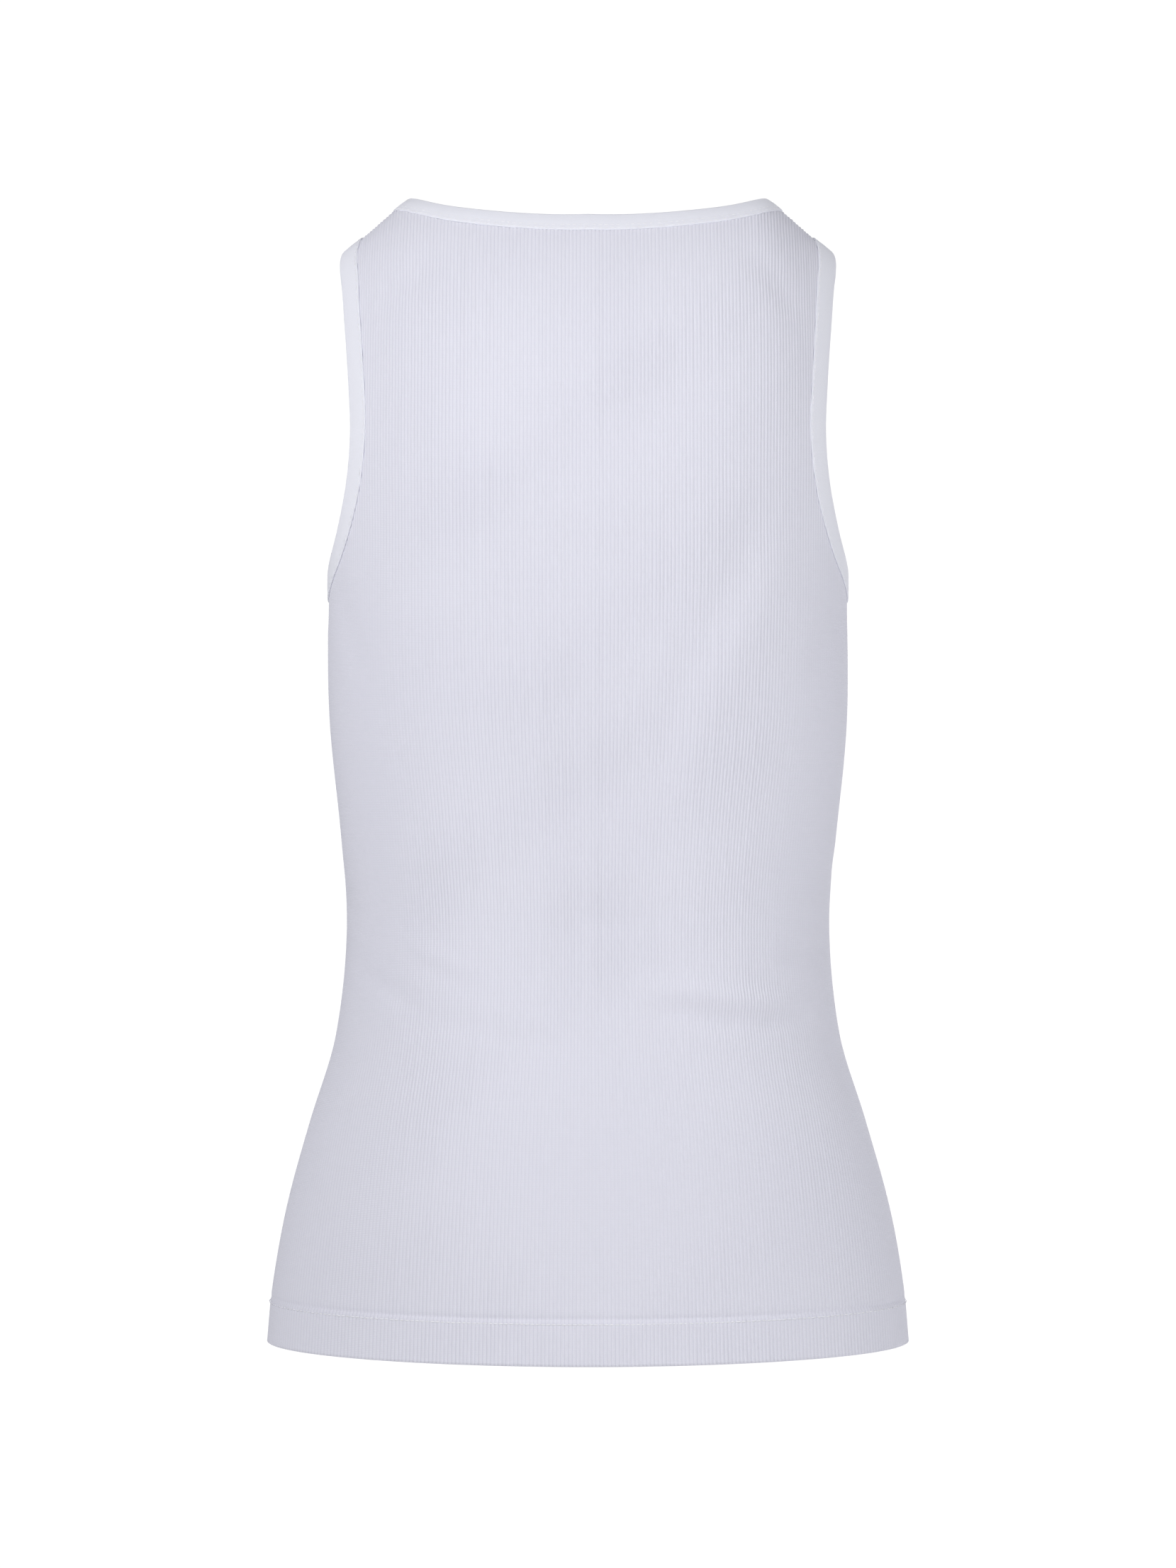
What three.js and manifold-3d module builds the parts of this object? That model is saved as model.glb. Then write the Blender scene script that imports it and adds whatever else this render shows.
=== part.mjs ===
// Ribbed tank top, worn shape with nobody in it. Millimetres, +Z up, back towards -Y, front towards +Y.
// Heights in this file are measured from the hem; the finished pieces are lowered so that the origin
// lies between the two shoulder straps, where the wearer holds the garment.
import * as THREE from 'three';
import Module from 'manifold-3d';

const wasm = await Module();
wasm.setup();

const seamGap = 0.3;
const heldHeight = 580;

const cloth = { wall: 1.4, ribDepth: 0.4, ribsPerPanel: 182, columnsPerRib: 2, innerStep: 8 };
const hem = { depth: 23, wall: 2.4 };
const binding = { neckWidth: 12, armholeWidth: 13.5, proud: 0.6, lining: 0.5, foldRound: 1.1 };

// Cross-sections of the filled body, from the hem to the level where the back starts to round over.
// power makes a section an oval at 2 and squarer above it. spread widens the ribs towards the side
// seams, as on the stretched hips.
const bodySections = [
  { height: 0, halfWidth: 167.6, backDepth: 115, frontDepth: 105, power: 1.92, spread: 0.12 },
  { height: 30, halfWidth: 164.7, backDepth: 114, frontDepth: 104, power: 1.95, spread: 0.12 },
  { height: 70, halfWidth: 157.3, backDepth: 111, frontDepth: 101, power: 2.02, spread: 0.11 },
  { height: 115, halfWidth: 145.1, backDepth: 103, frontDepth: 96, power: 2.15, spread: 0.08 },
  { height: 160, halfWidth: 131.5, backDepth: 93, frontDepth: 91, power: 2.28, spread: 0.05 },
  { height: 215, halfWidth: 126.2, backDepth: 85, frontDepth: 87, power: 2.4, spread: 0.02 },
  { height: 265, halfWidth: 129.2, backDepth: 86, frontDepth: 90, power: 2.5, spread: 0.01 },
  { height: 325, halfWidth: 135, backDepth: 92, frontDepth: 98, power: 2.5, spread: 0 },
  { height: 380, halfWidth: 135.1, backDepth: 97, frontDepth: 104, power: 2.5, spread: 0 },
  { height: 430, halfWidth: 134.8, backDepth: 98, frontDepth: 104, power: 2.5, spread: 0 },
];
const archBase = bodySections.at(-1).height;

// The line over the shoulders, seen from the back: across is the distance from the centre.
const shoulderLine = [
  { across: 0, height: 604.9 },
  { across: 50, height: 602.8 },
  { across: 80, height: 598.9 },
  { across: 92, height: 595.6 },
  { across: 101, height: 589.4 },
  { across: 112, height: 579.8 },
  { across: 124, height: 570.1 },
  { across: 140, height: 557 },
];

// Levels at which the panels change slope: heights up to the arch, then degrees over it.
const bodyLevels = [0, 68, 150, 215, 300, archBase];
const archAngles = [24, 46, 67, 90];

// Neck edge seen from above: an oval, deeper at the front.
const neck = { halfWidth: 92, backReach: 48, frontReach: 96, backPower: 2.2, frontPower: 2.6, stations: 44 };

// Armhole edge seen from the side, from the shoulder down the back and up the front.
const armholeEdge = [
  { along: 0, height: 567 },
  { along: -20, height: 550.5 },
  { along: -34.5, height: 526 },
  { along: -46, height: 496 },
  { along: -52, height: 466 },
  { along: -48.2, height: 437 },
  { along: -32.5, height: 412 },
  { along: 0, height: 398.5 },
  { along: 33, height: 410 },
  { along: 54, height: 434 },
  { along: 62, height: 466 },
  { along: 58, height: 499 },
  { along: 45, height: 531 },
  { along: 25, height: 554 },
];
const armholeStations = 44;
const armholeInnerLimit = 60; // the armhole edges lie further from the centre than this

// How far the wall of an opening's cutter reaches to either side of the form.
const cutterReach = 5;

// The tips of the cutters' cones, inside the garment and outside it. Those of the armholes are on the right.
const cutterTips = {
  neck: { inside: [0, 20, 560], outside: [0, 20, 680] },
  armhole: { inside: [85, 5, 482], outside: [240, 5, 482] },
};

const outlineSamples = 600; // points from which a section's length is measured
const rootHalvings = 40;
const formSteps = 4;
const nudge = 0.05;

const panelColor = '#e4e3ea';
const bindingColor = '#eceaf1';
const clothRoughness = 0.92;

// Smooth curve through the rows of a table: cubic between rows, with the slope at a row taken
// from its two neighbours.
function readTable(rows, key, at, column) {
  const last = rows.length - 1;
  const place = Math.min(Math.max(at, rows[0][key]), rows[last][key]);
  let i = 0;
  while (i < last - 1 && place > rows[i + 1][key]) i += 1;
  const slope = (k) => {
    const before = rows[Math.max(k - 1, 0)];
    const after = rows[Math.min(k + 1, last)];
    return (after[column] - before[column]) / (after[key] - before[key]);
  };
  const span = rows[i + 1][key] - rows[i][key];
  const t = (place - rows[i][key]) / span;
  const rise = t * t * (3 - 2 * t);
  const value = rows[i][column] * (1 - rise) + rows[i + 1][column] * rise;
  const bend = span * t * (1 - t) * ((1 - t) * slope(i) - t * slope(i + 1));
  return value + bend;
}

const bodyAt = (height, column) => readTable(bodySections, 'height', height, column);
const shoulderHeight = (x) => readTable(shoulderLine, 'across', Math.abs(x), 'height');

// How far the section reaches forward or back at x, as a superellipse.
function reachAt(x, height, side) {
  const power = bodyAt(height, 'power');
  const share = Math.min(Math.abs(x) / bodyAt(height, 'halfWidth'), 1);
  return bodyAt(height, `${side}Depth`) * (1 - share ** power) ** (1 / power);
}

// Zero on the garment's outer form, below zero inside it. Below the arch it compares the section's
// superellipse, and above it the quarter ellipse that rises from the arch base to the shoulder line.
function formValue(x, y, height) {
  const side = y < 0 ? 'back' : 'front';
  if (height <= archBase) {
    const power = bodyAt(height, 'power');
    const across = Math.abs(x) / bodyAt(height, 'halfWidth');
    const along = Math.abs(y) / bodyAt(height, `${side}Depth`);
    return (across ** power + along ** power) ** (1 / power) - 1;
  }
  const reach = Math.max(reachAt(x, archBase, side), seamGap);
  const rise = shoulderHeight(x) - archBase;
  return Math.hypot(y / reach, (height - archBase) / rise) - 1;
}

function formGradient(p) {
  const along = (dx, dy, dz) =>
    (formValue(p.x + dx, p.y + dy, p.z + dz) - formValue(p.x - dx, p.y - dy, p.z - dz)) / (2 * nudge);
  return new THREE.Vector3(along(nudge, 0, 0), along(0, nudge, 0), along(0, 0, nudge));
}

const formNormal = (p) => formGradient(p).normalize();

// Moves a point that lies close to the form onto it, along the form's gradient.
function ontoForm(point) {
  const p = point.clone();
  for (let step = 0; step < formSteps; step += 1) {
    const gradient = formGradient(p);
    p.addScaledVector(gradient, -formValue(p.x, p.y, p.z) / gradient.lengthSq());
  }
  return p;
}

// The root of a rising function between low and high, by halving.
function solve(rising, low, high) {
  let [below, above] = [low, high];
  for (let step = 0; step < rootHalvings; step += 1) {
    const middle = (below + above) / 2;
    if (rising(middle) < 0) below = middle;
    else above = middle;
  }
  return (below + above) / 2;
}

// Points across one panel at a height, from the left seam to the right, spaced as the ribs are.
function sectionPoints(height, side, count) {
  const power = bodyAt(height, 'power');
  const halfWidth = bodyAt(height, 'halfWidth');
  const depth = bodyAt(height, `${side}Depth`);
  const outline = [];
  for (let i = 0; i <= outlineSamples; i += 1) {
    const angle = (Math.PI * i) / outlineSamples;
    const x = -halfWidth * Math.sign(Math.cos(angle)) * Math.abs(Math.cos(angle)) ** (2 / power);
    outline.push(new THREE.Vector2(x, Math.max(depth * Math.sin(angle) ** (2 / power), seamGap / 2)));
  }
  const lengths = [0];
  for (let i = 1; i <= outlineSamples; i += 1) {
    lengths.push(lengths[i - 1] + outline[i].distanceTo(outline[i - 1]));
  }
  const spread = bodyAt(height, 'spread');
  const sign = side === 'back' ? -1 : 1;
  const points = [];
  let i = 0;
  for (let j = 0; j <= count; j += 1) {
    const rib = (2 * j) / count - 1;
    const share = (rib * (1 - spread + spread * rib * rib) + 1) / 2;
    const target = share * lengths[outlineSamples];
    while (i < outlineSamples - 1 && lengths[i + 1] < target) i += 1;
    const t = (target - lengths[i]) / (lengths[i + 1] - lengths[i]);
    const at = outline[i].clone().lerp(outline[i + 1], t);
    points.push(new THREE.Vector3(at.x, sign * at.y, height));
  }
  return points;
}

// The rows of one panel's outer form: level sections, then the arch from its base to the shoulder seam.
function panelRows(side, count) {
  const rows = bodyLevels.map((height) => sectionPoints(height, side, count));
  const base = rows.at(-1);
  for (const degrees of archAngles) {
    const angle = THREE.MathUtils.degToRad(degrees);
    rows.push(base.map((p) => {
      const reach = Math.max(Math.abs(p.y) * Math.cos(angle), seamGap / 2);
      const rise = (shoulderHeight(p.x) - archBase) * Math.sin(angle);
      return new THREE.Vector3(p.x, Math.sign(p.y) * reach, archBase + rise);
    }));
  }
  return rows;
}

// Moves a point of the form inwards by depth: level on the body, square to the form on the arch.
function inward(point, depth) {
  const normal = formNormal(point);
  if (point.z <= archBase) normal.setZ(0).normalize();
  return point.clone().addScaledVector(normal, -depth);
}

// Collects points and triangles, and makes one solid of them.
function meshBuilder() {
  const points = [];
  const triangles = [];
  return {
    add: (p) => points.push(p.x, p.y, p.z) / 3 - 1,
    face: (a, b, c, turned = false) => triangles.push(a, ...(turned ? [c, b] : [b, c])),
    quad(a, b, c, d, turned = false) {
      this.face(a, b, c, turned);
      this.face(a, c, d, turned);
    },
    // Joins two paths of points that run side by side, always across the shorter diagonal.
    join(first, second) {
      const at = (k) => new THREE.Vector3().fromArray(points, 3 * k);
      let [i, j] = [0, 0];
      while (i < first.length - 1 || j < second.length - 1) {
        const ahead = i < first.length - 1 ? at(first[i + 1]).distanceTo(at(second[j])) : Infinity;
        const beside = j < second.length - 1 ? at(first[i]).distanceTo(at(second[j + 1])) : Infinity;
        if (ahead <= beside) {
          triangles.push(first[i], first[i + 1], second[j]);
          i += 1;
        } else {
          triangles.push(first[i], second[j + 1], second[j]);
          j += 1;
        }
      }
    },
    solid() {
      const vertProperties = new Float32Array(points);
      const triVerts = new Uint32Array(triangles);
      return new wasm.Manifold(new wasm.Mesh({ numProp: 3, vertProperties, triVerts }));
    },
  };
}

function geometryOf(solid) {
  const { vertProperties, triVerts } = solid.getMesh();
  const geometry = new THREE.BufferGeometry();
  geometry.setAttribute('position', new THREE.BufferAttribute(vertProperties, 3));
  geometry.setIndex(new THREE.BufferAttribute(triVerts, 1));
  geometry.computeVertexNormals();
  return geometry;
}

// One uncut panel: ribs in the outer points, a plain inner face with fewer columns, and a hem turned
// up inside, which thickens the wall as far as the hem's depth.
function panelShell(side) {
  const count = cloth.ribsPerPanel * cloth.columnsPerRib;
  const rows = panelRows(side, count);
  const build = meshBuilder();
  const outer = rows.map((row) => row.map((p, j) => {
    const valley = j % cloth.columnsPerRib === 0;
    return build.add(inward(p, valley ? cloth.ribDepth : 0));
  }));
  const plainRows = rows.map((row) => row.filter((p, j) => j % cloth.innerStep === 0));
  const hemTop = sectionPoints(hem.depth, side, count / cloth.innerStep);
  const innerRows = [
    plainRows[0].map((p) => inward(p, hem.wall)),
    hemTop.map((p) => inward(p, hem.wall)),
    hemTop.map((p) => inward(p, cloth.wall).setZ(hem.depth + seamGap)),
    ...plainRows.slice(1).map((row) => row.map((p) => inward(p, cloth.wall))),
  ];
  const inner = innerRows.map((row) => row.map((p) => build.add(p)));
  const faceGrid = (grid, turned) => {
    for (let r = 0; r < grid.length - 1; r += 1) {
      for (let j = 0; j < grid[r].length - 1; j += 1) {
        build.quad(grid[r][j], grid[r][j + 1], grid[r + 1][j + 1], grid[r + 1][j], turned);
      }
    }
  };
  const isFront = side === 'front';
  faceGrid(outer, isFront);
  faceGrid(inner, !isFront);
  const close = (one, two) => (isFront ? build.join(one, two) : build.join(two, one));
  close(outer[0], inner[0]);
  close(inner.at(-1), outer.at(-1));
  close(inner.map((row) => row[0]), outer.map((row) => row[0]));
  close(outer.map((row) => row.at(-1)), inner.map((row) => row.at(-1)));
  return build.solid();
}

// The neck edge on the form: an oval seen from above, lifted to the form's height there.
function neckLoop() {
  const loop = [];
  for (let k = 0; k < neck.stations; k += 1) {
    const angle = (2 * Math.PI * k) / neck.stations;
    const side = Math.sin(angle) < 0 ? 'back' : 'front';
    const power = 2 / neck[`${side}Power`];
    const x = neck.halfWidth * Math.sign(Math.cos(angle)) * Math.abs(Math.cos(angle)) ** power;
    const y = neck[`${side}Reach`] * Math.sign(Math.sin(angle)) * Math.abs(Math.sin(angle)) ** power;
    const height = solve((z) => formValue(x, y, z), archBase, shoulderLine[0].height + 1);
    loop.push(new THREE.Vector3(x, y, height));
  }
  return loop;
}

// The armhole edge on the form: a smooth closed curve seen from the side, moved out to the form.
function armholeLoop(handSide) {
  const edge = armholeEdge.map((row) => new THREE.Vector3(0, row.along, row.height));
  const curve = new THREE.CatmullRomCurve3(edge, true, 'centripetal');
  const widest = bodyAt(archBase, 'halfWidth') + 1;
  return curve.getSpacedPoints(armholeStations).slice(0, armholeStations).map((p) => {
    const x = solve((across) => formValue(across, p.y, p.z), armholeInnerLimit, widest);
    return new THREE.Vector3(handSide * x, p.y, p.z);
  });
}

// For each point of an edge loop, the direction along the form from the opening into the cloth.
function awayFromOpening(loop) {
  const centre = loop.reduce((sum, p) => sum.add(p), new THREE.Vector3()).divideScalar(loop.length);
  return loop.map((p, k) => {
    const before = loop[(k + loop.length - 1) % loop.length];
    const after = loop[(k + 1) % loop.length];
    const along = after.clone().sub(before);
    const across = along.cross(formNormal(p)).normalize();
    return across.dot(p.clone().sub(centre)) < 0 ? across.negate() : across;
  });
}

// The point of the form at a distance from the edge, measured into the cloth, and lifted off the form.
function bandPoint(edge, away, distance, lift) {
  const onForm = ontoForm(edge.clone().addScaledVector(away, distance));
  return onForm.addScaledVector(formNormal(onForm), lift);
}

// Closes a ring of equal sections into a solid, and turns it outwards if it came out inside out.
function ringSolid(sections) {
  const build = meshBuilder();
  const rings = sections.map((section) => section.map((p) => build.add(p)));
  const first = sections[0];
  const centre = first.reduce((sum, p) => sum.add(p), new THREE.Vector3()).divideScalar(first.length);
  const next = sections[1][0].clone().sub(first[0]);
  const turn = first[0].clone().sub(centre).cross(first[1].clone().sub(centre)).dot(next);
  rings.forEach((ring, k) => {
    const after = rings[(k + 1) % rings.length];
    ring.forEach((a, i) => {
      const onward = (i + 1) % ring.length;
      build.quad(a, ring[onward], after[onward], after[i], turn <= 0);
    });
  });
  return build.solid();
}

// A folded tape round an opening: a flat band with a rounded fold along the edge.
function foldedBand(loop, width) {
  const away = awayFromOpening(loop);
  const top = binding.proud;
  const bottom = -(cloth.wall + binding.lining);
  const round = binding.foldRound;
  const profile = [
    { distance: width, lift: top },
    { distance: round, lift: top },
    { distance: 0, lift: top - round },
    { distance: 0, lift: bottom + round },
    { distance: round, lift: bottom },
    { distance: width, lift: bottom },
  ];
  return ringSolid(loop.map((p, k) => profile.map((at) => bandPoint(p, away[k], at.distance, at.lift))));
}

// A closed cutter round an opening: a wall square to the form just past the band, and a cone to a
// tip on either side.
function openingCutter(loop, width, inside, outside) {
  const away = awayFromOpening(loop);
  const build = meshBuilder();
  const rims = [-cutterReach, cutterReach].map((lift) =>
    loop.map((p, k) => build.add(bandPoint(p, away[k], width + seamGap, lift))));
  const [low, high] = [build.add(inside), build.add(outside)];
  const centre = inside.clone().add(outside).divideScalar(2);
  const out = outside.clone().sub(inside);
  const turn = loop[0].clone().sub(centre).cross(loop[1].clone().sub(centre)).dot(out);
  const turned = turn <= 0;
  loop.forEach((p, k) => {
    const next = (k + 1) % loop.length;
    build.quad(rims[0][k], rims[0][next], rims[1][next], rims[1][k], turned);
    build.face(rims[0][next], rims[0][k], low, turned);
    build.face(rims[1][k], rims[1][next], high, turned);
  });
  return build.solid();
}

function addPiece(group, name, solid, color) {
  const material = new THREE.MeshStandardMaterial({ color, roughness: clothRoughness, metalness: 0 });
  const mesh = new THREE.Mesh(geometryOf(solid), material);
  mesh.name = name;
  mesh.position.z = -heldHeight;
  group.add(mesh);
}

const neckEdge = neckLoop();
const armholeEdges = { left: armholeLoop(-1), right: armholeLoop(1) };
const tipAt = ([x, y, z], handSide = 1) => new THREE.Vector3(handSide * x, y, z);
const cutterOf = (loop, width, { inside, outside }, handSide) =>
  openingCutter(loop, width, tipAt(inside, handSide), tipAt(outside, handSide));
const cutters = [
  cutterOf(neckEdge, binding.neckWidth, cutterTips.neck),
  cutterOf(armholeEdges.left, binding.armholeWidth, cutterTips.armhole, -1),
  cutterOf(armholeEdges.right, binding.armholeWidth, cutterTips.armhole, 1),
];
const openPanel = (side) => cutters.reduce((panel, cutter) => panel.subtract(cutter), panelShell(side));

const tankTop = new THREE.Group();
addPiece(tankTop, 'back', openPanel('back'), panelColor);
addPiece(tankTop, 'front', openPanel('front'), panelColor);
addPiece(tankTop, 'neck_binding', foldedBand(neckEdge, binding.neckWidth), bindingColor);
for (const [hand, edge] of Object.entries(armholeEdges)) {
  addPiece(tankTop, `armhole_binding_${hand}`, foldedBand(edge, binding.armholeWidth), bindingColor);
}

export default tankTop;
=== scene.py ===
import math
import bpy
import numpy as np
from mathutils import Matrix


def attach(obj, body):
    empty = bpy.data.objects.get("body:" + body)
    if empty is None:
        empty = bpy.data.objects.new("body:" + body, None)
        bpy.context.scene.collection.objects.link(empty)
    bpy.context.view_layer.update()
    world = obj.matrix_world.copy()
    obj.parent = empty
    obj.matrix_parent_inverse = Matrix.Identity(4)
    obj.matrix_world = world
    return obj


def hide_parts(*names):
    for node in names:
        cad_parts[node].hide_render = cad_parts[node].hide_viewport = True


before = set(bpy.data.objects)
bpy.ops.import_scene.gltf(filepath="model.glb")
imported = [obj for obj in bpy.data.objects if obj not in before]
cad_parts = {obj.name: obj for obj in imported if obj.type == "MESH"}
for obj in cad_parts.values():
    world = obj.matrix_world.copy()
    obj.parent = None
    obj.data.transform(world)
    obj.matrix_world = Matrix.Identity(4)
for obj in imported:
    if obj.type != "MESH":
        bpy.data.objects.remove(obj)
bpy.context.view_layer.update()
print("frame loaded")

# Sizes are in millimetres, with heights measured from the hem, until makeMesh turns them into metres.
heldHeight = 580  # the frame's origin, between the shoulder straps, lies this far above the hem
mm = 0.001

# The worn form: level sections up to the arch base, and above them the line over the shoulders.
form = {
    "archBase": 430,  # above this level the cloth rounds over to the shoulders
    "height": [0, 30, 70, 115, 160, 215, 265, 325, 380, 430],
    "halfWidth": [167.6, 164.7, 157.3, 145.1, 131.5, 126.2, 129.2, 135, 135.1, 134.8],
    "backDepth": [115, 114, 111, 103, 93, 85, 86, 92, 97, 98],
    "frontDepth": [105, 104, 101, 96, 91, 87, 90, 98, 104, 104],
    "power": [1.92, 1.95, 2.02, 2.15, 2.28, 2.4, 2.5, 2.5, 2.5, 2.5],  # 2 is an oval, above it squarer
    "spread": [0.12, 0.12, 0.11, 0.08, 0.05, 0.02, 0.01, 0, 0, 0],  # ribs pulled wider towards the sides
    "shoulderAcross": [0, 50, 80, 92, 101, 112, 124, 140],
    "shoulderHeight": [604.9, 602.8, 598.9, 595.6, 589.4, 579.8, 570.1, 557],
    "leastReach": 0.3,  # the arch's sections are never shallower than this
    "seamReach": 0.02,  # the panels end this far from the plane of the side seams
}


# Cubic between the table's rows, with the slope at a row taken from its two neighbours.
def readTable(keys, values, at):
    keys = np.asarray(keys, float)
    values = np.asarray(values, float)
    rows = np.arange(len(keys))
    before = np.maximum(rows - 1, 0)
    after = np.minimum(rows + 1, len(keys) - 1)
    slope = (values[after] - values[before]) / (keys[after] - keys[before])
    at = np.clip(at, keys[0], keys[-1])
    i = np.clip(np.searchsorted(keys, at, side="right") - 1, 0, len(keys) - 2)
    span = keys[i + 1] - keys[i]
    t = (at - keys[i]) / span
    rise = t * t * (3 - 2 * t)
    bend = span * t * (1 - t) * ((1 - t) * slope[i] - t * slope[i + 1])
    return values[i] * (1 - rise) + values[i + 1] * rise + bend


def bodyAt(height, column):
    return readTable(form["height"], form[column], height)


def shoulderAt(x):
    return readTable(form["shoulderAcross"], form["shoulderHeight"], np.abs(x))


# How far the section at the arch base reaches at x: depth times (1 - |x / halfWidth|^p)^(1/p).
def archReach(x, back):
    base = form["archBase"]
    power = bodyAt(base, "power")
    depth = np.where(back, bodyAt(base, "backDepth"), bodyAt(base, "frontDepth"))
    share = np.minimum(np.abs(x) / bodyAt(base, "halfWidth"), 1)
    return np.maximum(depth * (1 - share**power) ** (1 / power), form["leastReach"])


# Zero on the worn form. Up to the arch base it is the level section's superellipse,
# (|x / a|^p + |y / b|^p)^(1/p) - 1, and above it the quarter ellipse up to the shoulder line.
def formValue(points):
    x, y, height = np.moveaxis(points, -1, 0)
    back = y < 0
    power = bodyAt(height, "power")
    depth = np.where(back, bodyAt(height, "backDepth"), bodyAt(height, "frontDepth"))
    across = np.abs(x) / bodyAt(height, "halfWidth")
    along = np.abs(y) / depth
    body = (across**power + along**power) ** (1 / power) - 1
    rise = shoulderAt(x) - form["archBase"]
    arch = np.hypot(y / archReach(x, back), (height - form["archBase"]) / rise) - 1
    return np.where(height <= form["archBase"], body, arch)


# The form's gradient by central differences.
def formSlope(points):
    nudge = 0.05
    steps = np.eye(3) * nudge
    return np.stack([(formValue(points + s) - formValue(points - s)) / (2 * nudge) for s in steps], -1)


def unit(vectors):
    least = 1e-12  # guards against dividing by zero
    return vectors / np.maximum(np.linalg.norm(vectors, axis=-1, keepdims=True), least)


# Newton steps along the gradient, towards where the form's value is zero.
def ontoForm(points):
    newtonSteps = 4
    for _ in range(newtonSteps):
        slope = formSlope(points)
        points = points - (formValue(points) / (slope**2).sum(-1))[..., None] * slope
    return points


# Points of a level section from seam to seam, at shares of its length that are spread towards the
# sides, and how far each lies from the middle. The section is x = -a cos^(2/p), y = b sin^(2/p).
def levelSection(height, side, count):
    samples = 2400
    power = bodyAt(height, "power")
    angle = np.linspace(0, math.pi, samples)
    across = -bodyAt(height, "halfWidth") * np.sign(np.cos(angle)) * np.abs(np.cos(angle)) ** (2 / power)
    along = bodyAt(height, side + "Depth") * np.abs(np.sin(angle)) ** (2 / power)
    along = np.maximum(along, form["seamReach"])
    length = np.concatenate([[0], np.cumsum(np.hypot(np.diff(across), np.diff(along)))])
    rib = np.linspace(-1, 1, count + 1)
    spread = bodyAt(height, "spread")
    share = (rib * (1 - spread + spread * rib**2) + 1) / 2
    x = np.interp(share * length[-1], length, across)
    y = np.interp(share * length[-1], length, along)
    sign = -1 if side == "back" else 1
    return np.stack([x, sign * y, np.full_like(x, height)], -1), (share - 0.5) * length[-1]


# The panel's smooth form as a grid, rows up the body and over the arch, and how far each column
# lies from the panel's middle, measured along the cloth.
def panelForm(side, heights, angles, count):
    sections = [levelSection(h, side, count) for h in heights]
    level = np.stack([section[0] for section in sections])
    across = np.stack([section[1] for section in sections])
    base = level[-1]
    turn = np.radians(angles)[:, None]
    x = np.repeat(base[None, :, 0], len(angles), 0)
    reach = np.maximum(np.abs(base[None, :, 1]) * np.cos(turn), form["seamReach"])
    rise = (shoulderAt(x) - form["archBase"]) * np.sin(turn)
    arch = np.stack([x, np.sign(base[None, :, 1]) * reach, form["archBase"] + rise], -1)
    return np.concatenate([level, arch]), np.concatenate([across, np.repeat(across[-1:], len(angles), 0)])


# Each fold is a ridge or trough: depth times exp(-(b / width)^2) times exp(-(a / length)^4), where a
# runs along the fold and b across it. A slow sine wave bends its line a little.
def foldField(across, height, folds):
    waver, waverRate = 0.06, 2.1
    field = np.zeros_like(across)
    for fold in folds:
        turn = math.radians(fold["turn"])
        dx = across - fold["across"]
        dz = height - fold["height"]
        a = dx * math.cos(turn) + dz * math.sin(turn)
        b = dz * math.cos(turn) - dx * math.sin(turn)
        b = b + waver * fold["length"] * np.sin(a / fold["length"] * waverRate)
        field += fold["depth"] * np.exp(-((b / fold["width"]) ** 2) - (a / fold["length"]) ** 4)
    return field


# Sine waves of different directions and lengths, added up and divided by half their number, so that
# the sum stays mostly between -1 and 1.
def slowNoise(across, height, seed, size):
    waves = 6
    shortest, longest = 0.6, 1.7  # lengths of the waves, as shares of size
    rng = np.random.default_rng(seed)
    field = np.zeros_like(across)
    for _ in range(waves):
        angle, phase = rng.uniform(0, math.pi), rng.uniform(0, 2 * math.pi)
        wave = size * rng.uniform(shortest, longest)
        along = across * math.cos(angle) + height * math.sin(angle)
        field += np.sin(2 * math.pi * along / wave + phase)
    return field / (waves / 2)


neckTape = {
    "halfWidth": 92,
    "backReach": 48,
    "frontReach": 96,
    "backPower": 2.2,
    "frontPower": 2.6,
    "width": 12,
    "stations": 420,
    "ripple": 0.04,
    "stitchesIn": [1.3, 3.4],  # rows of stitches, measured in from the sewn edge
    "stitchLift": 0.42,
    "above": 440,  # only cloth above this height is measured against the tape
    "within": 115,  # and only cloth nearer to the middle than this
}

armTape = {
    "along": [0, -20, -34.5, -46, -52, -48.2, -32.5, 0, 33, 54, 62, 58, 45, 25],
    "height": [567, 550.5, 526, 496, 466, 437, 412, 398.5, 410, 434, 466, 499, 531, 554],
    "innerLimit": 60.0,  # the armhole edges lie further from the middle than this
    "width": 13.5,
    "stations": 360,
    "ripple": 0.04,
    "stitchesIn": [1.4],
    "stitchLift": 0.4,
    "above": 370,
    "beyond": 70,  # only cloth further out than this is measured against the tape
}


def loopLength(loop):
    return np.linalg.norm(np.roll(loop, -1, 0) - loop, axis=1).sum()


# The closed loop again, with count stations at equal distances along it.
def spacedLoop(points, count):
    closed = np.concatenate([points, points[:1]])
    length = np.concatenate([[0], np.cumsum(np.linalg.norm(np.diff(closed, axis=0), axis=1))])
    at = np.linspace(0, length[-1], count, endpoint=False)
    return np.stack([np.interp(at, length, closed[:, k]) for k in range(3)], -1)


# The neck edge: an oval seen from above, lifted onto the arch.
def neckLoop(tape):
    samples = 3000
    angle = np.linspace(0, 2 * math.pi, samples, endpoint=False)
    back = np.sin(angle) < 0
    power = 2 / np.where(back, tape["backPower"], tape["frontPower"])
    x = tape["halfWidth"] * np.sign(np.cos(angle)) * np.abs(np.cos(angle)) ** power
    y = np.where(back, tape["backReach"], tape["frontReach"]) * np.sign(np.sin(angle))
    y = y * np.abs(np.sin(angle)) ** power
    lift = np.sqrt(np.maximum(1 - (y / archReach(x, back)) ** 2, 0))
    height = form["archBase"] + (shoulderAt(x) - form["archBase"]) * lift
    return spacedLoop(np.stack([x, y, height], -1), tape["stations"])


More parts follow.
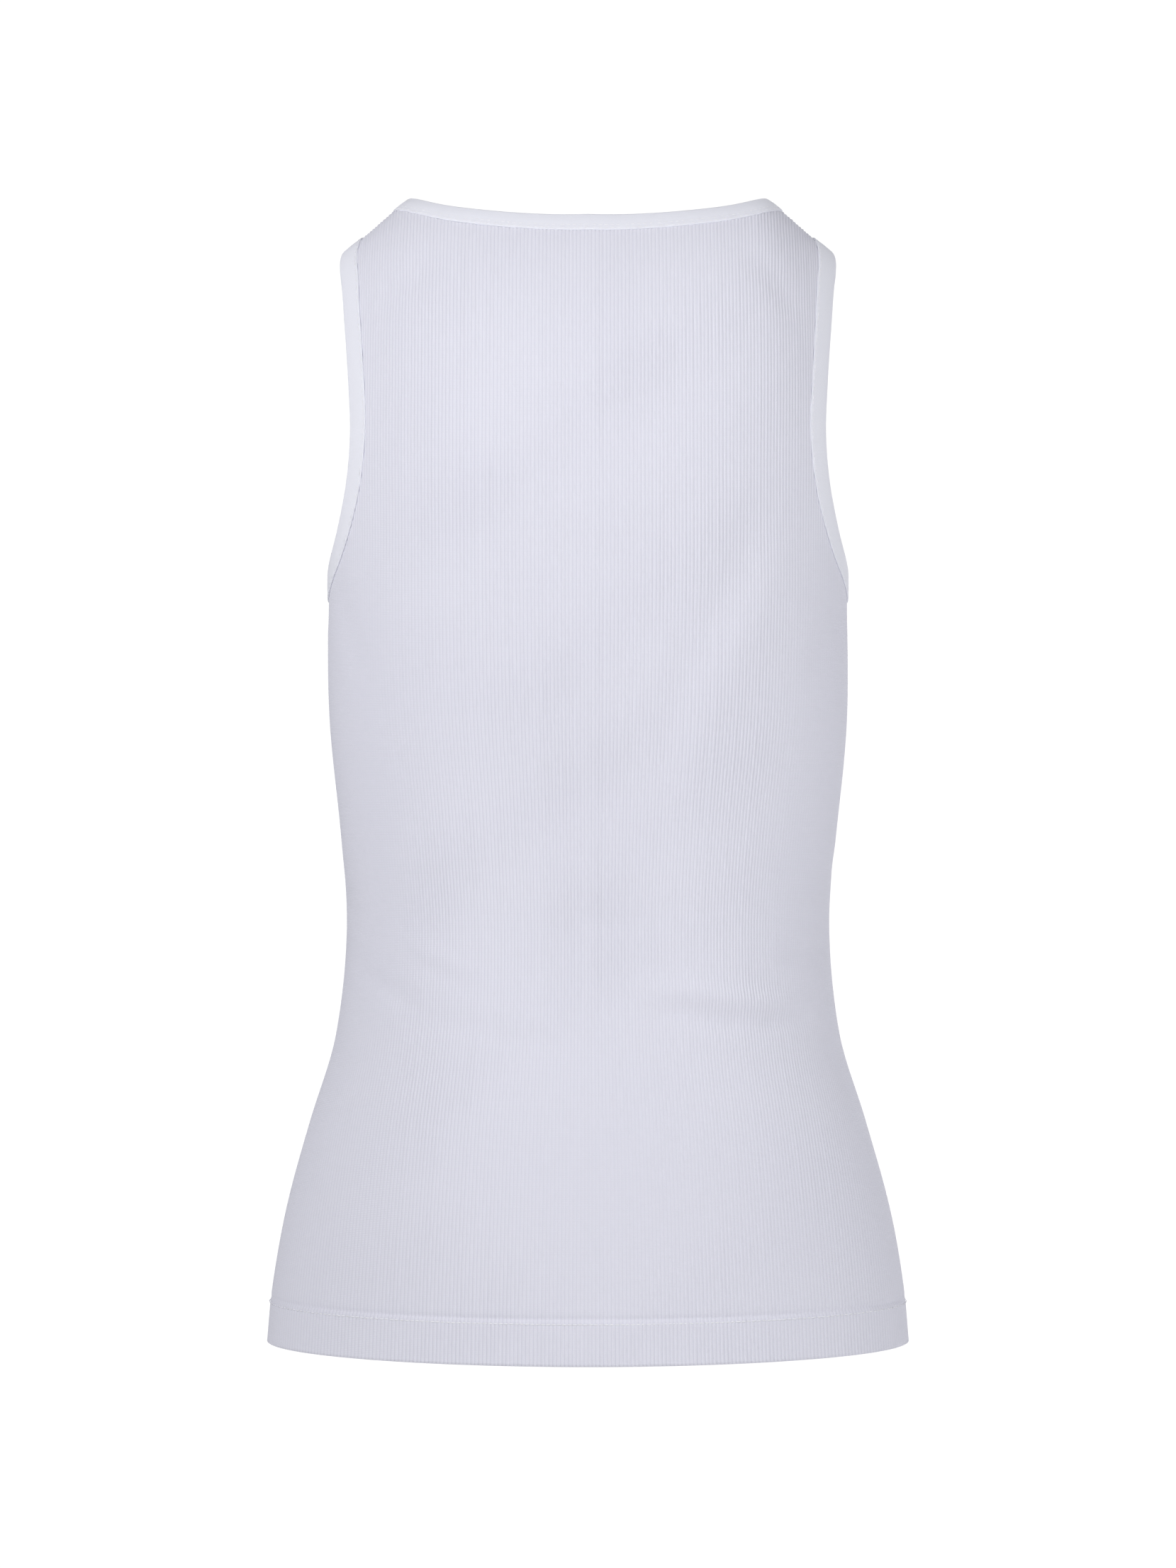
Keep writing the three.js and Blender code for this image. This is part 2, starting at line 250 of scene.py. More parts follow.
# The armhole edge: a smooth closed curve seen from the side, moved out to the form by halving.
def armLoop(tape, hand):
    samples, halvings = 2000, 40
    rows = np.stack([tape["along"], tape["height"]], -1).astype(float)
    n = len(rows)
    around = np.concatenate([rows[-2:], rows, rows[:3]])
    knots = np.concatenate([[0], np.cumsum(np.linalg.norm(np.diff(around, axis=0), axis=1))])
    at = np.linspace(knots[2], knots[2 + n], samples, endpoint=False)
    y, height = (readTable(knots, around[:, k], at) for k in range(2))
    low = np.full_like(y, tape["innerLimit"])
    high = np.full_like(y, bodyAt(form["archBase"], "halfWidth") + 1)
    for _ in range(halvings):
        middle = (low + high) / 2
        inside = formValue(np.stack([middle, y, height], -1)) < 0
        low, high = np.where(inside, middle, low), np.where(inside, high, middle)
    return spacedLoop(np.stack([hand * low, y, height], -1), tape["stations"])


# Unit vectors at each station: along the edge, into the cloth, and out of the form.
def loopFrame(loop):
    along = unit(np.roll(loop, -1, 0) - np.roll(loop, 1, 0))
    out = unit(formSlope(loop))
    into = unit(np.cross(along, out))
    if ((loop - loop.mean(0)) * into).sum() < 0:
        into = -into
    return along, into, out


# Points at a distance from the edge into the cloth, lifted off the form by lift.
def bandPoints(loop, into, distance, lift):
    onForm = ontoForm(loop + into * np.asarray(distance)[..., None])
    return onForm + unit(formSlope(onForm)) * np.asarray(lift)[..., None]


# How far each point lies from the loop, negative inside the opening. The side is found from angle
# and radius in the view along the two named axes, and the distance from the nearest station.
def insideLoop(points, loop, axes):
    parts = 40  # the points are taken in this many groups, to save memory
    centre = loop.mean(0)
    flat = (points - centre)[:, axes]
    edge = (loop - centre)[:, axes]
    turn = np.arctan2(edge[:, 1], edge[:, 0])
    radius = np.hypot(edge[:, 0], edge[:, 1])
    order = np.argsort(turn)
    limit = np.interp(np.arctan2(flat[:, 1], flat[:, 0]), turn[order], radius[order], period=2 * math.pi)
    inside = np.hypot(flat[:, 0], flat[:, 1]) < limit
    far = np.concatenate([
        np.sqrt(((part[:, None] - loop[None]) ** 2).sum(-1)).min(1) for part in np.array_split(points, parts)
    ])
    return np.where(inside, -far, far)


# A mesh object from points in millimetres and four-sided faces as rows of point numbers. The second
# UV layer, flatness, tells the shader how far the ribs, and the painted shade in their valleys, have
# vanished.
def makeMesh(name, points, faces, uv, material, flatness=None):
    used, faces = np.unique(faces, return_inverse=True)
    faces = faces.reshape(-1, 4)
    place = (points[used] - [0, 0, heldHeight]) * mm
    mesh = bpy.data.meshes.new(name)
    mesh.vertices.add(len(place))
    mesh.vertices.foreach_set("co", place.astype(np.float32).ravel())
    mesh.loops.add(faces.size)
    mesh.loops.foreach_set("vertex_index", faces.astype(np.int32).ravel())
    mesh.polygons.add(len(faces))
    mesh.polygons.foreach_set("loop_start", np.arange(0, faces.size, faces.shape[1], dtype=np.int32))
    mesh.polygons.foreach_set("use_smooth", np.full(len(faces), True))
    for layer, values in (("cloth", uv), ("flatness", flatness)):
        if values is not None:
            corners = values[used][faces].astype(np.float32)
            mesh.uv_layers.new(name=layer).data.foreach_set("uv", corners.ravel())
    mesh.update(calc_edges=True)
    mesh.validate()
    mesh.materials.append(material)
    piece = bpy.data.objects.new(name, mesh)
    bpy.context.scene.collection.objects.link(piece)
    return piece


# The four-sided faces of a grid of points numbered row by row.
def gridFaces(rows, columns, closedColumns=False):
    across = columns if closedColumns else columns - 1
    r, c = np.meshgrid(np.arange(rows - 1), np.arange(across), indexing="ij")
    right = (c + 1) % columns
    below = r * columns
    above = (r + 1) * columns
    return np.stack([below + c, below + right, above + right, above + c], -1)


# Each look's valley colour is painted shade: darker than its top, it stands in for the shade between the
# ribs.
looks = {
    "rib_knit": {
        "top": (0.77, 0.768, 0.85, 1),
        "valley": (0.66, 0.658, 0.75, 1),
        "tint": (0.975, 0.975, 0.985, 1),
        "flatTone": 0.62,  # where the ribs vanish, the tone lies this far from the painted valley shade to the top, so flat places keep part of that painted shade
        "roughness": 0.94,
        "sheen": 0.12,
        "walesPerUnit": 1,
        "coursesPerUnit": 1 / 0.9,
        "fuzz": 0.35,
        "knit": 0.5,
    },
    "tape": {
        "top": (0.83, 0.835, 0.905, 1),
        "valley": (0.81, 0.815, 0.89, 1),
        "tint": (0.985, 0.985, 0.99, 1),
        "flatTone": 1,
        "roughness": 0.92,
        "sheen": 0.12,
        "walesPerUnit": 1 / 0.6,
        "coursesPerUnit": 1 / 0.7,
        "fuzz": 0.3,
        "knit": 0.35,
    },
    "thread": {
        "top": (0.88, 0.88, 0.93, 1),
        "valley": (0.83, 0.83, 0.89, 1),
        "tint": (0.99, 0.99, 0.99, 1),
        "flatTone": 1,
        "roughness": 0.8,
        "sheen": 0.1,
        "walesPerUnit": 2,
        "coursesPerUnit": 2,
        "fuzz": 0.2,
        "knit": 0.5,
    },
}

# What all the cloths share. Heights of bumps are in metres, and noise scales are for each metre.
cotton = {
    "sheenRoughness": 0.6,
    "specular": 0.2,
    "valleyWidth": 0.55,  # the wave's value at which the painted valley shade gives way to the top's tone
    "toneScale": 14,
    "toneDetail": 2,
    "fuzzScale": 1500,
    "fuzzDetail": 3,
    "fuzzHeight": 0.0002,
    "loopHeight": 0.00012,
}

# The Mix node has its sockets for numbers and for colours at these places.
numberMix = {"share": 0, "first": 2, "second": 3, "result": 0}
colourMix = {"share": 0, "first": 6, "second": 7, "result": 2}


def link(tree, start, end):
    tree.links.new(start, end)


# A node that calculates with one or two values, each a number or another node's output.
def mathNode(tree, operation, *values):
    node = tree.nodes.new("ShaderNodeMath")
    node.operation = operation
    for place, value in enumerate(values):
        if isinstance(value, (int, float)):
            node.inputs[place].default_value = value
        else:
            link(tree, value, node.inputs[place])
    return node.outputs[0]


# Half a sine wave for each turn, from 0 to 1.
def waveNode(tree, source, turns):
    angle = mathNode(tree, "MULTIPLY", source, turns * math.pi)
    return mathNode(tree, "ABSOLUTE", mathNode(tree, "SINE", angle))


def noiseNode(tree, scale, detail):
    place = tree.nodes.new("ShaderNodeTexCoord")
    texture = tree.nodes.new("ShaderNodeTexNoise")
    texture.inputs["Scale"].default_value = scale
    texture.inputs["Detail"].default_value = detail
    link(tree, place.outputs["Object"], texture.inputs["Vector"])
    return texture.outputs["Fac"]


# The two directions of one of the piece's UV layers.
def uvNode(tree, layer):
    uv = tree.nodes.new("ShaderNodeUVMap")
    uv.uv_map = layer
    split = tree.nodes.new("ShaderNodeSeparateXYZ")
    link(tree, uv.outputs["UV"], split.inputs["Vector"])
    return split.outputs["X"], split.outputs["Y"]


# A bump of the given height in metres, added to the bump below it.
def bumpNode(tree, strength, distance, source, below=None):
    bump = tree.nodes.new("ShaderNodeBump")
    bump.inputs["Strength"].default_value = strength
    bump.inputs["Distance"].default_value = distance
    link(tree, source, bump.inputs["Height"])
    if below is not None:
        link(tree, below, bump.inputs["Normal"])
    return bump.outputs["Normal"]


# Painted shade: the valleys are coloured darker than the tops of the ribs, standing in for the shade between
# them. Where the ribs vanish their two tones meet.
def ribColour(tree, look, wale):
    edge = tree.nodes.new("ShaderNodeMapRange")
    edge.inputs["From Max"].default_value = cotton["valleyWidth"]
    link(tree, wale, edge.inputs["Value"])
    meet = tree.nodes.new("ShaderNodeMix")
    meet.inputs[numberMix["second"]].default_value = look["flatTone"]
    link(tree, uvNode(tree, "flatness")[0], meet.inputs[numberMix["share"]])
    link(tree, edge.outputs["Result"], meet.inputs[numberMix["first"]])
    colour = tree.nodes.new("ShaderNodeMix")
    colour.data_type = "RGBA"
    colour.inputs[colourMix["first"]].default_value = look["valley"]
    colour.inputs[colourMix["second"]].default_value = look["top"]
    link(tree, meet.outputs[numberMix["result"]], colour.inputs[colourMix["share"]])
    return colour.outputs[colourMix["result"]]


# The colour again, with a slow change of tone over the cloth.
def slowTone(tree, look, colour):
    tone = tree.nodes.new("ShaderNodeMix")
    tone.data_type = "RGBA"
    tone.blend_type = "MULTIPLY"
    tone.inputs[colourMix["second"]].default_value = look["tint"]
    patches = noiseNode(tree, cotton["toneScale"], cotton["toneDetail"])
    link(tree, patches, tone.inputs[colourMix["share"]])
    link(tree, colour, tone.inputs[colourMix["first"]])
    return tone.outputs[colourMix["result"]]


# Matte cotton: a fine knit bump along the piece's own UV, fuzz, painted shade in the rib valleys, a slow
# colour change and sheen.
def clothMaterial(name, look):
    material = bpy.data.materials.new(name)
    material.use_nodes = True
    tree = material.node_tree
    shader = tree.nodes["Principled BSDF"]
    shader.inputs["Roughness"].default_value = look["roughness"]
    shader.inputs["Sheen Weight"].default_value = look["sheen"]
    shader.inputs["Sheen Roughness"].default_value = cotton["sheenRoughness"]
    shader.inputs["Specular IOR Level"].default_value = cotton["specular"]
    acrossRibs, alongRibs = uvNode(tree, "cloth")
    wale = waveNode(tree, acrossRibs, look["walesPerUnit"])
    course = waveNode(tree, alongRibs, look["coursesPerUnit"])
    colour = slowTone(tree, look, ribColour(tree, look, wale))
    link(tree, colour, shader.inputs["Base Color"])
    hairs = noiseNode(tree, cotton["fuzzScale"], cotton["fuzzDetail"])
    fuzz = bumpNode(tree, look["fuzz"], cotton["fuzzHeight"], hairs)
    loops = mathNode(tree, "MULTIPLY", wale, course)
    surface = bumpNode(tree, look["knit"], cotton["loopHeight"], loops, fuzz)
    link(tree, surface, shader.inputs["Normal"])
    return material


materials = {name: clothMaterial(name, look) for name, look in looks.items()}
print("materials made")

neckEdge = neckLoop(neckTape)
armEdges = {"left": armLoop(armTape, -1), "right": armLoop(armTape, 1)}

panels = {
    "ribs": 200,
    "columnsPerRib": 3,
    "ribDepth": 0.42,
    "ribRoundness": 0.7,  # below 1 the ribs are broad and the valleys narrow
    "ribUneven": 0.12,  # how much the ribs' heights differ
    "ribSeed": {"back": 7, "front": 8},
    "patchUneven": 0.3,  # how much they change from place to place
    "patchSeed": 21,
    "patchSize": 60,
    "ribsInside": -0.6,  # the ribs on the turned-up hem, as a share of those outside
    "fadeHeight": [0, 130, 200, 370, 450],
    "sideFade": [0.45, 0.45, 0.88, 0.85, 0.15],  # how far the ribs vanish where the cloth rounds the sides
    "fadeFrom": [0.62, 0.62, 0.42, 0.46, 0.6],  # and from what share of the way to the side seam
    "fadeWidth": 0.22,
    "turnedRows": [18, 12, 6, 1.6, 0.5],  # heights inside, below the hem's raw edge, down to the fold
    "lowerRows": [0.5, 1.6, 5, 10, 15, 19, 21.4, 22.4, 22.9, 23.4, 24, 24.8, 26, 28.5],
    "rowStep": 6,
    "fineRows": [158, 216, 2.2],  # from, to and step at the waist, where the cloth creases most
    "archStep": 2.6,  # degrees
    "wall": 1.3,
    "hemDepth": 23,
    "hemStep": 0.34,  # how far the doubled hem stands proud
    "hemSoftness": 0.35,
    "hemGroove": 0.6,
    "grooveAbove": 0.7,  # the groove runs this far above the hem's top
    "grooveWidth": 1.1,
    "hemEasesWithin": 25,  # of the side seam
    "hemEasesTo": 0.3,  # the share of the step and groove that is left at the side seam
    "foldTuck": 0.6,
    "seamDip": 0.5,
    "seamWidth": 1.6,
    "shoulderSeamSharpness": 30,  # the dip there is one part in this many of the arch's rows wide
    "underTape": 5,  # the cloth ends this far inside the folded tape
    "restless": 0.5,  # slow unevenness of the worn cloth
    "restlessSeed": 5,
    "restlessSize": 150,
    "quietBelow": 60,  # it eases below this height
    "quietShare": 0.25,  # to this share
    "stillBesideTape": 22,
    "stillBesideSeam": 12,
    "stillShare": 0.15,  # what is left of folds and unevenness at the side seam
}

# Places where the ribs are pulled nearly flat: across and height give the middle, share what is lost.
flatPatches = [
    {"across": 8, "height": 95, "wide": 62, "tall": 62, "share": 0.78},
    {"across": 104, "height": 70, "wide": 50, "tall": 60, "share": 0.5},
    {"across": -112, "height": 70, "wide": 42, "tall": 60, "share": 0.3},
    {"across": -98, "height": 335, "wide": 40, "tall": 80, "share": 0.5},
]

# Soft folds: across is measured along the cloth from the middle of the panel, turn is from level.
backFolds = [
    {"across": -76, "height": 202, "length": 20, "width": 5, "turn": -14, "depth": 0.5},
    {"across": -74, "height": 193, "length": 18, "width": 5, "turn": -14, "depth": -0.35},
    {"across": 72, "height": 183, "length": 40, "width": 6, "turn": -3, "depth": 1.9},
    {"across": 60, "height": 172, "length": 26, "width": 5, "turn": -5, "depth": -1.3},
    {"across": 108, "height": 170, "length": 18, "width": 5, "turn": 8, "depth": -1.4},
    {"across": 60, "height": 362, "length": 78, "width": 13, "turn": 71, "depth": -1.2},
    {"across": 76, "height": 358, "length": 64, "width": 12, "turn": 71, "depth": 0.7},
    {"across": -54, "height": 166, "length": 38, "width": 7, "turn": -4, "depth": -0.8},
    {"across": 14, "height": 222, "length": 24, "width": 6, "turn": 3, "depth": -0.7},
    {"across": -114, "height": 188, "length": 26, "width": 6, "turn": -16, "depth": -1.1},
    {"across": 128, "height": 205, "length": 24, "width": 6, "turn": 14, "depth": -1.1},
    {"across": -150, "height": 232, "length": 22, "width": 6, "turn": -20, "depth": -1},
    {"across": 152, "height": 242, "length": 22, "width": 6, "turn": 22, "depth": -1},
    {"across": -138, "height": 372, "length": 30, "width": 9, "turn": -48, "depth": -1},
    {"across": 140, "height": 366, "length": 28, "width": 9, "turn": 50, "depth": -1.1},
    {"across": -100, "height": 545, "length": 26, "width": 8, "turn": 38, "depth": -0.9},
    {"across": 98, "height": 548, "length": 26, "width": 8, "turn": -38, "depth": -1.1},
]

frontFolds = [
    {"across": -70, "height": 212, "length": 40, "width": 6, "turn": 8, "depth": -0.9},
    {"across": 64, "height": 200, "length": 46, "width": 7, "turn": -6, "depth": -1},
    {"across": -20, "height": 184, "length": 38, "width": 6, "turn": -3, "depth": -0.6},
    {"across": 88, "height": 232, "length": 34, "width": 6, "turn": -15, "depth": -0.8},
    {"across": -112, "height": 238, "length": 32, "width": 6, "turn": 18, "depth": -0.9},
    {"across": 134, "height": 210, "length": 26, "width": 6, "turn": -20, "depth": -0.9},
    {"across": -140, "height": 200, "length": 24, "width": 6, "turn": 16, "depth": -0.8},
    {"across": -122, "height": 388, "length": 40, "width": 9, "turn": 46, "depth": -1.1},
    {"across": 118, "height": 380, "length": 44, "width": 9, "turn": -50, "depth": -1.1},
    {"across": -74, "height": 486, "length": 34, "width": 9, "turn": -62, "depth": -0.7},
    {"across": 76, "height": 480, "length": 36, "width": 9, "turn": 60, "depth": -0.7},
    {"across": 12, "height": 300, "length": 60, "width": 12, "turn": 78, "depth": -0.5},
]


# Heights of the panel's level rows, from the hem's raw edge inside, round the fold and up to the arch
# base, the number of the row at the fold, and the angles of the rows over the arch.
def panelRows():
    fineFrom, fineTo, fineStep = panels["fineRows"]
    lower, rowStep = panels["lowerRows"], panels["rowStep"]
    turned = [panels["hemDepth"], *panels["turnedRows"]]
    upper = np.concatenate([
        np.arange(lower[-1] + rowStep, fineFrom - 1, rowStep),
        np.arange(fineFrom, fineTo, fineStep),
        np.linspace(fineTo, form["archBase"], round((form["archBase"] - fineTo) / rowStep)),
    ])
    angles = np.linspace(0, 90, round(90 / panels["archStep"]) + 1)[1:]
    return np.concatenate([turned, [0], lower, upper]), len(turned), angles


# The share of the ribs' depth that is left. It falls towards the side seams in a smooth step, and in
# each flat patch by its share times exp(-far), where far is the squared distance from its middle.
def ribsKept(across, height, half):
    fade = np.interp(height, panels["fadeHeight"], panels["sideFade"])
    fadeFrom = np.interp(height, panels["fadeHeight"], panels["fadeFrom"])
    sideways = np.clip((np.abs(across) / half - fadeFrom) / panels["fadeWidth"], 0, 1)
    kept = 1 - fade * sideways**2 * (3 - 2 * sideways)
    for patch in flatPatches:
        acrossShare = (across - patch["across"]) / patch["wide"]
        heightShare = (height - patch["height"]) / patch["tall"]
        far = acrossShare**2 + heightShare**2
        kept = kept * (1 - patch["share"] * np.exp(-far))
    return kept


# The ribs' height: |sin(pi phase)|^roundness, where phase counts the ribs, uneven from one rib to the
# next and from place to place.
def ribRelief(side, phase, across, height, kept, out):
    rng = np.random.default_rng(panels["ribSeed"][side])
    ribs = panels["ribs"]
    relief = np.abs(np.sin(math.pi * phase)) ** panels["ribRoundness"]
    strength = 1 + panels["ribUneven"] * rng.standard_normal(ribs + 1)[np.minimum(phase.astype(int), ribs)]
    ribbing = panels["ribDepth"] * (relief * strength)[None, :] * np.ones_like(height)
    patches = slowNoise(across, height, panels["patchSeed"], panels["patchSize"])
    patchy = 1 + panels["patchUneven"] * patches
    return ribbing * patchy * kept * np.where(out > 0, 1, panels["ribsInside"])


# Outside, the doubled hem stands proud up to its top, with a groove just above. Inside, the turned-up
# cloth lies one wall further in, and the row at the fold is tucked in.
def hemRelief(toSeam, height, out):
    above = height - panels["hemDepth"]
    doubled = 1 / (1 + np.exp(above / panels["hemSoftness"]))
    groove = np.exp(-(((above - panels["grooveAbove"]) / panels["grooveWidth"]) ** 2))
    step = panels["hemStep"] * doubled - panels["hemGroove"] * groove
    step = step * np.clip(toSeam / panels["hemEasesWithin"], panels["hemEasesTo"], 1)
    inside = np.where(out == 0, -panels["wall"], 0)
    return np.where(out > 0.9, step, 0) + inside - panels["foldTuck"] * (out == 0.5)


# Dips along the side seams and along the shoulder seam at the top of the arch.
def seamRelief(toSeam, archShare):
    side = np.exp(-((toSeam / panels["seamWidth"]) ** 2))
    shoulder = np.exp(-(((1 - archShare) * panels["shoulderSeamSharpness"]) ** 2))
    return -panels["seamDip"] * side - panels["seamDip"] * shoulder * (archShare > 0)


# How far each point lies from the nearest tape, negative under a tape or in an opening.
def clearOfTapes(points):
    farAway = 99.0
    clear = np.full(len(points), farAway)
    x, height = points[:, 0], points[:, 2]
    byNeck = (height > neckTape["above"]) & (np.abs(x) < neckTape["within"])
    byLeft = (height > armTape["above"]) & (x < -armTape["beyond"])
    byRight = (height > armTape["above"]) & (x > armTape["beyond"])
    for edge, axes, tape, near in (
        (neckEdge, [0, 1], neckTape, byNeck),
        (armEdges["left"], [1, 2], armTape, byLeft),
        (armEdges["right"], [1, 2], armTape, byRight),
    ):
        clear[near] = np.minimum(clear[near], insideLoop(points[near], edge, axes) - tape["width"])
    return clear


# Folds and slow unevenness of the worn cloth, which lies still beside tapes and side seams.
def wornRelief(across, height, toSeam, clear, folds):
    quiet = np.clip(height / panels["quietBelow"], panels["quietShare"], 1)
    slow = slowNoise(across, height, panels["restlessSeed"], panels["restlessSize"])
    bend = foldField(across, height, folds) + panels["restless"] * quiet * slow
    besideTape = np.clip(clear / panels["stillBesideTape"], 0, 1)
    besideSeam = np.clip(toSeam / panels["stillBesideSeam"], panels["stillShare"], 1)
    return bend * (besideTape * besideSeam)


# A ribbed sheet from the top of the turned-up hem inside, round the fold at the bottom and up to the
# shoulder seam: the form moved along its normal by ribs, folds, hem step and seam dip.
def makePanel(side, folds):
    heights, foldRow, angles = panelRows()
    columns = panels["ribs"] * panels["columnsPerRib"]
    grid, across = panelForm(side, heights, angles, columns)
    height = grid[..., 2]
    half = np.abs(across).max(1, keepdims=True)
    toSeam = half - np.abs(across)
    normal = unit(formSlope(grid))
    normal[: len(heights), :, 2] = 0
    normal = unit(normal)
    row = np.arange(len(grid))[:, None]
    out = np.where(row > foldRow, 1.0, np.where(row == foldRow, 0.5, 0.0))  # 0 inside, 1 outside
    archShare = np.maximum(row - len(heights), 0) / len(angles)
    phase = np.arange(columns + 1) / panels["columnsPerRib"]
    kept = ribsKept(across, height, half)
    clear = clearOfTapes(grid.reshape(-1, 3))
    lift = ribRelief(side, phase, across, height, kept, out) - panels["ribDepth"]
    lift = lift + hemRelief(toSeam, height, out)
    lift = lift + seamRelief(toSeam, archShare)
    lift = lift + wornRelief(across, height, toSeam, clear.reshape(height.shape), folds)
    points = grid + normal * lift[..., None]

    faces = gridFaces(*height.shape).reshape(-1, 4)
    faces = faces[clear[faces].mean(1) > -panels["underTape"]]
    if side == "front":
        faces = faces[:, ::-1]
    upTheCloth = np.where(out > 0, height, -height)
    uv = np.stack([np.broadcast_to(phase, height.shape), upTheCloth], -1).reshape(-1, 2)
    flatness = np.stack([1 - kept, 0 * kept], -1).reshape(-1, 2)
    return makeMesh(side + "_panel", points.reshape(-1, 3), faces, uv, materials["rib_knit"], flatness)


# How a tape wanders and puckers.
tapeUneven = {
    "waves": (3, 5, 8, 13),  # each runs this many times round the loop
    "widthChange": 0.25,
    "changesBeyond": 1,  # the fold, nearer the cloth's edge than this, stays in place
    "puckerStations": 4,  # from one pucker to the next
    "puckerIn": 2,  # from the sewn edge
    "puckerWidth": 2,
    "outsideAbove": 0.05,  # only the part of the section that lies higher than this puckers
}


# The section of a folded tape of width w, once round: distance from the cloth's edge, and lift off
# the form.
def tapeProfile(w):
    return np.array([
        [w, -0.25], [w - 0.1, 0.2], [w - 0.5, 0.46], [w - 1.3, 0.42], [w - 2.2, 0.54], [w - 3.4, 0.5],
        [w - 5, 0.62], [w / 2, 0.66], [2, 0.64], [0.9, 0.46], [0.25, 0.08], [0, -0.4], [0.25, -0.92],
        [0.9, -1.3], [2.2, -1.45], [w / 2, -1.45], [w - 0.8, -1.42], [w - 0.15, -1.25], [w, -0.95],
        [w - 1, -0.85], [2, -0.85], [1.3, -0.6], [2, -0.4], [w - 1, -0.4],
    ])


# The tape's points, one row of the section's points for each station of the loop.
def tapePoints(name, edge, tape, profile):
    uneven = tapeUneven
    count = len(edge)
    station = np.arange(count)
    into = loopFrame(edge)[1]
    rng = np.random.default_rng(len(name))
    turns = [np.sin(2 * math.pi * (k * station / count + rng.random())) for k in uneven["waves"]]
    slow = sum(turns) / len(turns)
    pucker = tape["ripple"] * np.sin(2 * math.pi * station / uneven["puckerStations"] + 2 * slow)
    reach, height = profile[None, :, 0], profile[None, :, 1]
    distance = reach + uneven["widthChange"] * slow[:, None] * (reach > uneven["changesBeyond"])
    fromPucker = (reach - tape["width"] + uneven["puckerIn"]) / uneven["puckerWidth"]
    outside = (height > uneven["outsideAbove"]) * np.exp(-(fromPucker**2))
    return bandPoints(edge[:, None], into[:, None], distance, height + pucker[:, None] * outside)


# A tape folded over the cloth's edge: a closed C-shaped profile carried along the loop.
def makeTape(name, edge, tape):
    profile = tapeProfile(tape["width"])
    count, section = len(edge), len(profile)
    station = np.arange(count)
    flat = tapePoints(name, edge, tape, profile).reshape(-1, 3)
    a = (station[:, None] * section + np.arange(section)[None]).ravel()
    b = (station[:, None] * section + (np.arange(section) + 1)[None] % section).ravel()
    faces = np.stack([a, b, (b + section) % (count * section), (a + section) % (count * section)], -1)
    corner = flat[faces]
    area = np.cross(corner[:, 2] - corner[:, 0], corner[:, 3] - corner[:, 1])
    if (area * corner.mean(1)).sum() < 0:
        faces = faces[:, ::-1]
    girth = np.concatenate([[0], np.cumsum(np.linalg.norm(np.diff(profile, axis=0), axis=1))])
    along = station[:, None] * loopLength(edge) / count
    uv = np.stack(np.broadcast_arrays(girth[None, :], along), -1).reshape(-1, 2)
    return makeMesh(name, flat, faces, uv, materials["tape"])


stitch = {
    "length": 2.5,
    "thick": 0.34,
    "flattened": 0.7,
    "leastGirth": 0.02,  # squared, at the two ends
    "spacing": 3.2,
    "hemPerPanel": 147,
    "hemBelow": 1.9,  # the hem's row runs this far below its top
    "hemSunk": 0.1,
}


# One stitch: a spindle of girth sqrt(1 - t^2), where t runs from -1 to 1 along it, with six sides and
# two faces across each end.
def stitchShape():
    rings, sides = 5, 6
    t = np.linspace(-1, 1, rings)[:, None]
    girth = np.sqrt(np.maximum(1 - t**2, stitch["leastGirth"]))
    around = 2 * math.pi * np.arange(sides) / sides
    lengthways = t * stitch["length"] / 2
    wide = girth * np.cos(around) * stitch["thick"]
    high = girth * np.sin(around) * stitch["thick"] * stitch["flattened"]
    spindle = np.stack(np.broadcast_arrays(lengthways, wide, high), -1).reshape(-1, 3)
    walls = gridFaces(rings, sides, closedColumns=True).reshape(-1, 4)
    lastRing = (rings - 1) * sides
    firstEnd = np.array([[0, 5, 4, 1], [1, 4, 3, 2]])
    lastEnd = np.array([[0, 1, 4, 5], [1, 2, 3, 4]]) + lastRing
    return spindle, np.concatenate([walls, firstEnd, lastEnd])[:, ::-1]


# Short thread bulges: the one stitch, laid along the seam, repeated at every centre.
def makeStitches(name, centres, along, out):
    spindle, one = stitchShape()
    across = unit(np.cross(out, along))
    points = centres[:, None] + spindle[None, :, :1] * along[:, None]
    points = points + spindle[None, :, 1:2] * across[:, None]
    points = points + spindle[None, :, 2:] * out[:, None]
    firstPoint = len(spindle) * np.arange(len(centres))
    faces = (one[None] + firstPoint[:, None, None]).reshape(-1, 4)
    uv = np.tile(spindle[:, :2], (len(centres), 1))
    return makeMesh(name, points.reshape(-1, 3), faces, uv, materials["thread"])


# Rows of stitches along a tape, each a fixed distance in from its sewn edge.
def edgeStitches(name, edge, tape):
    along, into, out = loopFrame(edge)
    count = round(loopLength(edge) / stitch["spacing"])
    pick = (np.arange(count) * len(edge) / count).astype(int)
    rows = []
    for stitchIn in tape["stitchesIn"]:
        distance = np.full(count, tape["width"] - stitchIn)
        rows.append(bandPoints(edge[pick], into[pick], distance, np.full(count, tape["stitchLift"])))
    times = (len(rows), 1)
    return makeStitches(name, np.concatenate(rows), np.tile(along[pick], times), np.tile(out[pick], times))


# A row of stitches round both panels, just below the top of the turned-up hem.
def hemStitches():
    height = panels["hemDepth"] - stitch["hemBelow"]
    parts = [levelSection(height, side, stitch["hemPerPanel"])[0][:-1] for side in ("back", "front")]
    ring = np.concatenate([parts[0], parts[1][::-1]])
    out = unit(formSlope(ring))
    along = unit(np.roll(ring, -1, 0) - np.roll(ring, 1, 0))
    return makeStitches("hem_stitches", ring + out * (panels["hemStep"] - stitch["hemSunk"]), along, out)


